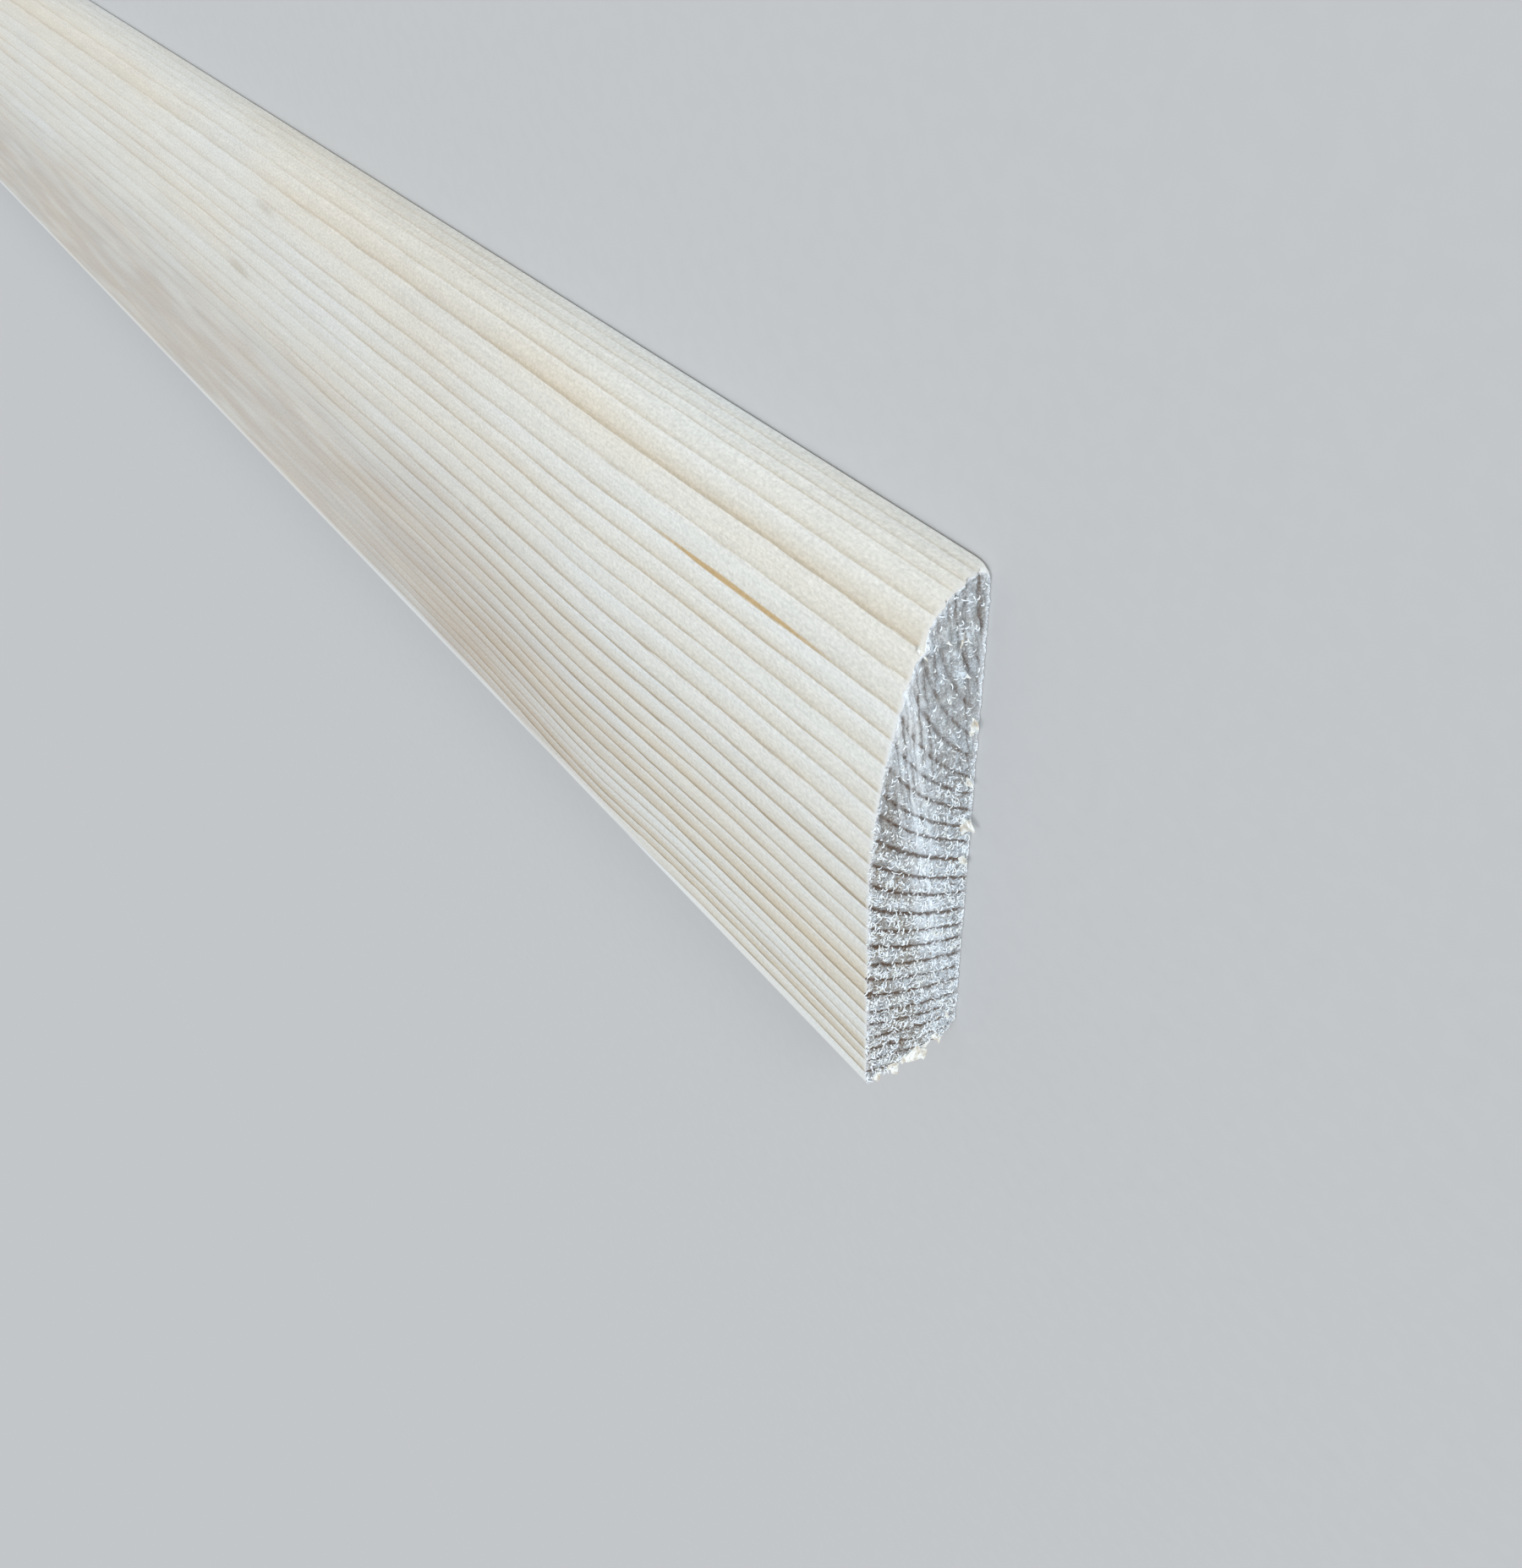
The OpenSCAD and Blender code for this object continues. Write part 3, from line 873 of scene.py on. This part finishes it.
# Flakes torn out along the near end: root as (out of the end, across, height), the way it points,
# the way its width lies, then length, width and thickness, all in millimetres.
NEAR_FLAKES = (
    ((-0.2, -28.3, 8.4), (0.45, -0.90, -0.20), (0, 0, 1), 2.0, 1.5, 0.35),
    ((-0.2, -28.2, 5.4), (0.50, -0.88, -0.35), (0, 0, 1), 2.4, 2.6, 0.40),
    ((-0.2, -27.6, 2.7), (0.45, -0.90, -0.10), (0, 0, 1), 2.0, 1.2, 0.35),
    ((-0.2, -28.5, 10.5), (0.40, -0.90, 0.05), (0, 0, 1), 1.2, 1.3, 0.30),
    ((-0.2, -28.4, 7.0), (0.45, -0.90, 0.15), (0, 0, 1), 1.1, 1.5, 0.35),
    ((-0.2, -28.1, 3.9), (0.45, -0.90, 0.10), (0, 0, 1), 1.1, 1.4, 0.35),
    ((-0.6, 1.4, 1.0), (1.0, 0.05, -0.20), (0, 1, 0), 2.2, 2.4, 0.9),
    ((-0.6, 6.6, 0.9), (1.0, -0.15, -0.20), (0, 1, 0), 1.5, 1.3, 0.8),
    ((-0.6, 13.0, 0.8), (1.0, 0.05, -0.15), (0, 1, 0), 1.5, 2.5, 0.8),
    ((-0.6, -3.3, 0.9), (1.0, 0.20, -0.20), (0, 1, 0), 1.5, 1.9, 0.8),
    ((-0.5, -25.4, 1.5), (1.0, -0.20, -0.20), (0, 1, 0), 1.2, 1.0, 0.6),
    ((-0.2, 24.1, 7.3), (0.5, -0.7, -0.50), (0.3, 0.5, 1), 1.5, 0.7, 0.35),
    ((-0.2, 24.3, 5.3), (0.5, -0.4, -0.70), (0, 1, 0.3), 1.5, 0.8, 0.35),
    ((-0.2, 23.3, 2.4), (0.6, -0.6, 0.50), (0, 1, 0), 1.3, 0.8, 0.35),
    ((-0.2, 19.6, 2.6), (0.6, -0.3, -0.50), (0, 1, 0), 1.2, 0.7, 0.35),
)
# The far end is out of the photograph, so it gets only a few of the same kind.
FAR_FLAKES = (
    ((-0.2, -28.2, 6.0), (0.45, -0.90, -0.10), (0, 0, 1), 2.2, 2.4, 0.35),
    ((-0.6, 4.0, 0.8), (1.0, 0.10, -0.20), (0, 1, 0), 1.4, 1.5, 0.7),
    ((-0.6, -12.0, 0.8), (1.0, -0.10, -0.20), (0, 1, 0), 1.2, 1.7, 0.7),
)
FLAKE_STEPS = 9
FLAKE_SIDES = 12
# How far a flake's tip curls up, as a share of its length.
FLAKE_CURL = 0.18


def add_flake(form, way, root, points, wide, length, width, thickness, seed):
    """Add one closed, pointed flake with a frayed edge to a bmesh."""
    root = Vector((HALF_LENGTH + root[0], root[1], root[2]))
    forward = Vector(points).normalized()
    flat = Vector(wide)
    flat = (flat - flat.dot(forward) * forward).normalized()
    thick = forward.cross(flat)
    loops = []
    for step in range(FLAKE_STEPS):
        t = step / FLAKE_STEPS
        curl = FLAKE_CURL * length * t * t
        ragged = 1 + 0.35 * noise.noise(Vector((3.7 * t, seed, 0)))
        drift = 0.25 * width * noise.noise(Vector((2.1 * t, seed, 5)))
        centre = root + forward * length * t + thick * curl + flat * drift
        half_width = width / 2 * (1 - t ** 1.7) * ragged
        half_thickness = thickness / 2 * (1 - 0.75 * t)
        loop = []
        for side in range(FLAKE_SIDES):
            angle = math.tau * side / FLAKE_SIDES
            fuzz = 1 + 0.5 * noise.noise(Vector((side * 1.7, step * 1.1, seed)))
            place = centre + flat * half_width * math.cos(angle) * fuzz
            place += thick * half_thickness * math.sin(angle) * fuzz
            loop.append(place)
        loops.append(loop)
    tip = root + forward * length + thick * FLAKE_CURL * length
    # No flake hangs below the back of the board.
    rows = [
        [form.verts.new((way * p.x * MM, p.y * MM, max(p.z, 0.05) * MM)) for p in loop]
        for loop in loops]
    point = form.verts.new((way * tip.x * MM, tip.y * MM, max(tip.z, 0.1) * MM))
    for near, far in zip(rows, rows[1:]):
        for side in range(FLAKE_SIDES):
            after = (side + 1) % FLAKE_SIDES
            form.faces.new((near[side], near[after], far[after], far[side]))
    for side in range(FLAKE_SIDES):
        form.faces.new((rows[-1][side], rows[-1][(side + 1) % FLAKE_SIDES], point))
    form.faces.new(reversed(rows[0]))


class PLANK_OT_flakes(bpy.types.Operator):
    """Add the flakes that the saw tore out along the ends' edges"""
    bl_idname = "plank.flakes"
    bl_label = "Torn flakes"

    def execute(self, context):
        form = bmesh.new()
        for way, flakes in ((1, NEAR_FLAKES), (-1, FAR_FLAKES)):
            for seed, flake in enumerate(flakes):
                add_flake(form, way, *flake, seed * 1.7 + way)
        bmesh.ops.recalc_face_normals(form, faces=form.faces)
        mesh = bpy.data.meshes.new("torn_flakes_mesh")
        form.to_mesh(mesh)
        form.free()
        colours = context.scene.plank_colours
        mesh.materials.append(torn_wood("torn_pine_flake", colours.earlywood, colours.torn_flake))
        place_piece("torn_flakes", mesh)
        return {"FINISHED"}


# The camera stands where the photograph was taken from, in millimetres, and leans over.
CAMERA_PLACE = (967.0, 91.1, 67.7)
CAMERA_AIM = (883.7, 0.95, 12.0)
CAMERA_ROLL = -117.16
# Field of view of the photograph, from the run of the board's long edges, as a lens and a sensor.
CAMERA_LENS, CAMERA_SENSOR = 32.4, 36.0
FLOOR_HALF = 4.0
# Soft lamps: the direction each stands in, its strength and how wide it is in degrees.
SUNS = (
    ("key", (0.40, 0.30, 0.86), 0.79, 25),
    ("edge_light", (0.58, 0.78, 0.25), 0.9, 12),
    ("end_light", (0.91, -0.02, 0.41), 1.2, 20),
)
BACKDROP = "#C3C6C9"


def pale_floor():
    """Matt pale grey studio paper: even, with a faint tooth."""
    material, tree = new_material("studio_paper")
    place = add(tree, "ShaderNodeTexCoord", out="Object")
    # Paper tooth of about 2 mm.
    tooth = patches_of(tree, place, (2, 2, 2), detail=2.0)
    tone = add(tree, MIX, {
        0: tooth, MIX_A: opaque(linear("#C6C9CC")), MIX_B: opaque(linear("#CACDD0"))},
        **COLOUR_MIX)
    surface(tree, {"Base Color": tone, "Roughness": 0.95, "Specular IOR Level": 0.1})
    return material


class PLANK_OT_stage(bpy.types.Operator):
    """Set up the floor, the soft light and the camera"""
    bl_idname = "plank.stage"
    bl_label = "Stage"

    def execute(self, context):
        scene = context.scene
        corners = [(x * FLOOR_HALF, y * FLOOR_HALF, -0.1 * MM)
                   for x, y in ((-1, -1), (1, -1), (1, 1), (-1, 1))]
        mesh = bpy.data.meshes.new("floor_mesh")
        mesh.from_pydata(corners, [], [(0, 1, 2, 3)])
        mesh.materials.append(pale_floor())
        floor = bpy.data.objects.new("floor", mesh)
        scene.collection.objects.link(floor)

        world = bpy.data.worlds.new("soft_studio")
        world.use_nodes = True
        tree = world.node_tree
        tree.nodes.clear()
        seen = add(tree, "ShaderNodeLightPath", out="Is Camera Ray")
        light = add(tree, "ShaderNodeBackground", {"Color": opaque(linear("#FFFFFF")), "Strength": 0.5})
        backdrop = add(tree, "ShaderNodeBackground", {"Color": opaque(linear(BACKDROP)), "Strength": 1.0})
        both = add(tree, "ShaderNodeMixShader", {0: seen, 1: light, 2: backdrop})
        add(tree, "ShaderNodeOutputWorld", {"Surface": both})
        scene.world = world

        for name, towards, strength, spread in SUNS:
            lamp = bpy.data.lights.new(name, "SUN")
            lamp.energy = strength
            lamp.angle = math.radians(spread)
            sun = bpy.data.objects.new(name, lamp)
            sun.rotation_mode = "QUATERNION"
            sun.rotation_quaternion = Vector(towards).to_track_quat("Z", "Y")
            scene.collection.objects.link(sun)

        camera = bpy.data.objects.new("camera", bpy.data.cameras.new("camera"))
        place, aim = Vector(CAMERA_PLACE) * MM, Vector(CAMERA_AIM) * MM
        turn = (aim - place).to_track_quat("-Z", "Y")
        turn = turn @ Quaternion((0, 0, 1), math.radians(CAMERA_ROLL))
        camera.matrix_world = Matrix.Translation(place) @ turn.to_matrix().to_4x4()
        camera.data.lens = CAMERA_LENS
        camera.data.sensor_width = CAMERA_SENSOR
        camera.data.clip_start = 1 * MM
        scene.collection.objects.link(camera)
        scene.camera = camera
        scene.view_settings.view_transform = "Standard"
        return {"FINISHED"}


class PLANK_PT_sidebar(bpy.types.Panel):
    """Lists the pieces and the sizes they are made from"""
    bl_idname = "PLANK_PT_sidebar"
    bl_label = "Moulded pine plank"
    bl_space_type = "VIEW_3D"
    bl_region_type = "UI"
    bl_category = "Plank"

    def draw(self, context):
        for group_name in GROUPS:
            group = getattr(context.scene, group_name)
            box = self.layout.box()
            for name in group.__annotations__:
                box.prop(group, name)
        for operator in OPERATORS:
            self.layout.operator(operator.bl_idname)


OPERATORS = (PLANK_OT_board, PLANK_OT_fibres, PLANK_OT_flakes, PLANK_OT_stage)
GROUPS = {"plank_section": PlankSection, "plank_sawn_ends": SawnEnds, "plank_colours": PineColours}
CLASSES = (*GROUPS.values(), *OPERATORS, PLANK_PT_sidebar)


def register():
    for cls in CLASSES:
        bpy.utils.register_class(cls)
    for name, group in GROUPS.items():
        setattr(bpy.types.Scene, name, bpy.props.PointerProperty(type=group))


def unregister():
    for name in GROUPS:
        delattr(bpy.types.Scene, name)
    for cls in reversed(CLASSES):
        bpy.utils.unregister_class(cls)


def main():
    register()
    bpy.ops.plank.board()
    bpy.ops.plank.fibres()
    bpy.ops.plank.flakes()
    bpy.ops.plank.stage()


if __name__ == "__main__":
    main()
